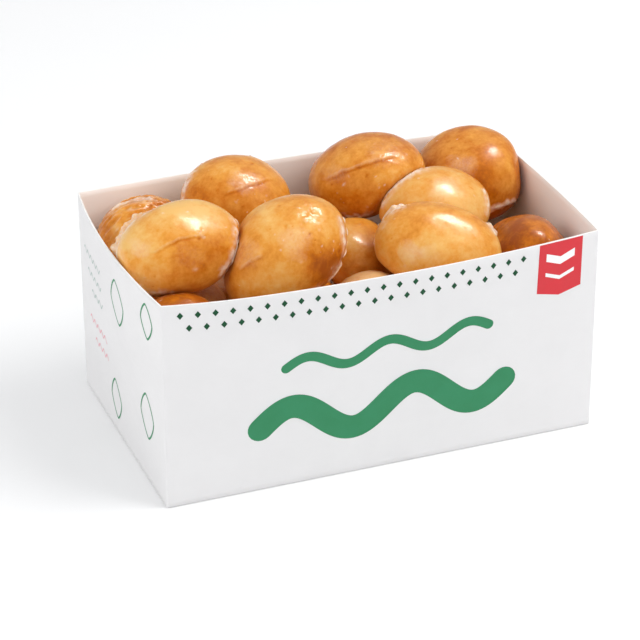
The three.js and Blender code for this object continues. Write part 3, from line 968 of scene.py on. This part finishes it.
    def write(self):
        """Moves the mesh's points by the relief, and stores the tones."""
        moved = (self.points + self.normals * self.relief[:, None]) * MM
        self.mesh.vertices.foreach_set("co", moved.ravel())
        write_tones(self.mesh, self.brown_and_painted_light, self.sugar_and_painted_highlights)
        self.mesh.polygons.foreach_set("use_smooth", [True] * len(self.mesh.polygons))
        self.mesh.update()


def other_solids(node):
    """Every solid but one, to keep clear of."""
    points, faces = [], []
    for name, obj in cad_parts.items():
        if name != node:
            start = len(points)
            points += [vertex.co.copy() for vertex in obj.data.vertices]
            faces += [tuple(start + i for i in polygon.vertices) for polygon in obj.data.polygons]
    return BVHTree.FromPolygons(points, faces)


def shape_surface(surface, marks, chance, shows):
    """Gives a surface what every doughnut has, and then the marks of its own."""
    surface.brown_and_painted_light += chance.uniform(-BROWN_SPREAD, BROWN_SPREAD) + marks.get("tone", 0.0)
    surface.uneven()
    surface.unseen_skirt(chance)
    kinds = {"creases": surface.crease, "skirts": surface.skirt, "lips": surface.lip, "rough": surface.rough,
             "films": surface.film, "painted_light_and_browning": surface.painted_light_and_browning, "swells": surface.swell,
             "wrinkled": surface.wrinkle}
    for kind, shape in kinds.items():
        for mark in marks.get(kind, []):
            shape(*mark)
    if shows:
        surface.flecks(chance, FLECKS_ALL_OVER)
        for spot in marks.get("flecked", []):
            surface.flecks(chance, FLECKS_ON_PART, *spot)


def build_doughnut(node, number, material):
    """One glazed doughnut over its solid. Returns its edges of dried glaze."""
    shows = node in SHOWN
    surface = Surface(*doughnut_mesh(node, SHOWN_LEVELS if shows else HIDDEN_LEVELS), 100 * number)
    shape_surface(surface, MARKS.get(node, {}), np.random.default_rng(number), shows)
    others = other_solids(node)
    surface.keep_clear(others)
    surface.write()
    surface.mesh.materials.append(material)
    piece = link(bpy.data.objects.new(f"glazed_{node}", surface.mesh))
    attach(piece, "root")
    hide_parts(node)
    lines = [(width, *surface.edge_line(nearest)) for width, nearest in surface.edges]
    return [glaze_edge(places, ways, width, others, surface.seed + 90 + 5 * i)
            for i, (width, places, ways) in enumerate(lines)]


def build_edges(edges, material):
    """All edges of dried glaze as one piece."""
    points, faces, white = [], [], []
    for edge_points, edge_faces, edge_white in edges:
        faces += [tuple(len(points) + corner for corner in face) for face in edge_faces]
        points += list(edge_points)
        white += list(edge_white)
    piece = mesh_piece("dried_glaze_edges", points, faces, [material])
    write_tones(piece.data, np.full(len(white), EDGE_BROWN), white)


# Stage, light and camera

FLOOR_COLOURS, FLOOR_CLOUD, FLOOR_ROUGHNESS = ((0.98, 0.98, 0.98), (0.96, 0.96, 0.96)), 4, 0.9
FLOOR_HALF, FLOOR_LEVEL_MM = 6.0, -0.2

# The pale studio all round, and what the glaze mirrors of it: the way to its brightest part, and its
# strength from the sides to there.
ROOM_COLOUR, ROOM_STRENGTH = (0.975, 0.985, 1.0, 1.0), 0.70
MIRRORED_WAY, MIRRORED_STRENGTH = (0.25, 0.72, 0.62), (0.03, 0.60)

# Lamps: the way to each from the middle of the rim, its distance, size and power, and the kind of light that
# it doesn't give.
LAMPS = {
    "key": ((0.60, -0.32, 0.75), 1.3, (1.2, 1.1), 10.3, "visible_glossy"),
    "left_fill": ((-0.9, -0.25, 0.35), 1.4, (1.0, 1.0), 5.7, "visible_glossy"),
    "gloss_core": (0.30 * RIGHT + 0.92 * UP + 0.17 * BACK, 1.2, (0.44, 0.26), 10.0, "visible_diffuse"),
    "gloss_tail": (0.46 * RIGHT + 0.86 * UP + 0.16 * BACK, 1.25, (0.80, 0.34), 3.2, "visible_diffuse"),
}
SENSOR_MM = 36.0


def build_floor():
    material, tree, shader = new_material("pale_floor")
    cloud = mapped(tree, object_noise(tree, FLOOR_CLOUD, 2.0), 0.3, 0.7, 0.0, 0.3)
    feed(tree, shader.inputs["Base Color"], mixed_colour(tree, cloud, *FLOOR_COLOURS))
    shader.inputs["Roughness"].default_value = FLOOR_ROUGHNESS
    mesh = bpy.data.meshes.new("floor")
    corners = [(x * FLOOR_HALF, y * FLOOR_HALF, FLOOR_LEVEL_MM * MM)
               for x, y in ((-1, -1), (1, -1), (1, 1), (-1, 1))]
    mesh.from_pydata(corners, [], [(0, 1, 2, 3)])
    mesh.materials.append(material)
    link(bpy.data.objects.new("floor", mesh))


def add_lamp(name, way, distance, size, power, left_out):
    """An oval soft light that faces the middle of the rim from a direction."""
    lamp = bpy.data.lights.new(name, "AREA")
    lamp.shape, lamp.size, lamp.size_y = "ELLIPSE", *size
    lamp.energy = power
    obj = link(bpy.data.objects.new(name, lamp))
    way = Vector(way).normalized()
    across = (Vector(RIGHT) - way * way.dot(RIGHT)).normalized()
    axes = Matrix((across, way.cross(across), way)).transposed()
    place = Vector((0, 0, HEIGHT_MM * MM)) + way * distance
    obj.matrix_world = Matrix.Translation(place) @ axes.to_4x4()
    setattr(obj, left_out, False)


def build_world():
    """A pale studio. What the glaze mirrors of it is bright behind and above, and dark in front."""
    world = bpy.data.worlds.new("studio")
    world.use_nodes = True
    tree = world.node_tree
    plain = tree.nodes["Background"]
    plain.inputs["Color"].default_value = ROOM_COLOUR
    plain.inputs["Strength"].default_value = ROOM_STRENGTH
    way = add_node(tree, "ShaderNodeTexCoord").outputs["Generated"]
    towards = add_node(tree, "ShaderNodeVectorMath", {"operation": "DOT_PRODUCT"})
    feed(tree, towards.inputs[0], way)
    feed(tree, towards.inputs[1], Vector(MIRRORED_WAY).normalized())
    strength = mapped(tree, towards.outputs["Value"], 0.0, 1.0, *MIRRORED_STRENGTH)
    mirrored = add_node(tree, "ShaderNodeBackground", Strength=strength)
    glossy = add_node(tree, "ShaderNodeLightPath").outputs["Is Glossy Ray"]
    choice = add_node(tree, "ShaderNodeMixShader")
    for socket, output in zip(choice.inputs, (glossy, plain.outputs[0], mirrored.outputs[0])):
        feed(tree, socket, output)
    feed(tree, tree.nodes["World Output"].inputs["Surface"], choice.outputs[0])
    bpy.context.scene.world = world


def build_camera():
    camera = bpy.data.cameras.new("camera")
    camera.lens = LENS_MM
    camera.sensor_width = SENSOR_MM
    camera.shift_x, camera.shift_y = FRAMING_SHIFT
    obj = link(bpy.data.objects.new("camera", camera))
    place = Vector((0, 0, HEIGHT_MM * MM / 2)) + Vector(BACK) * VIEW_DISTANCE
    axes = Matrix((RIGHT, UP, BACK)).transposed()
    obj.matrix_world = Matrix.Translation(place) @ axes.to_4x4()
    bpy.context.scene.camera = obj


def build():
    build_camera()
    build_floor()
    build_world()
    for name, lamp in LAMPS.items():
        add_lamp(name, *lamp)
    bpy.context.scene.view_settings.view_transform = "Standard"
    build_tray([board_material(face) for face in BOARDS])
    build_print({name: ink_material(name) for name in INKS})
    crust = crust_material()
    doughnuts = sorted(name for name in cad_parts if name.startswith("doughnut"))
    edges = []
    for number, node in enumerate(doughnuts, 1):
        edges += build_doughnut(node, number, crust)
    build_edges(edges, crust)


build()
bpy.context.view_layer.update()
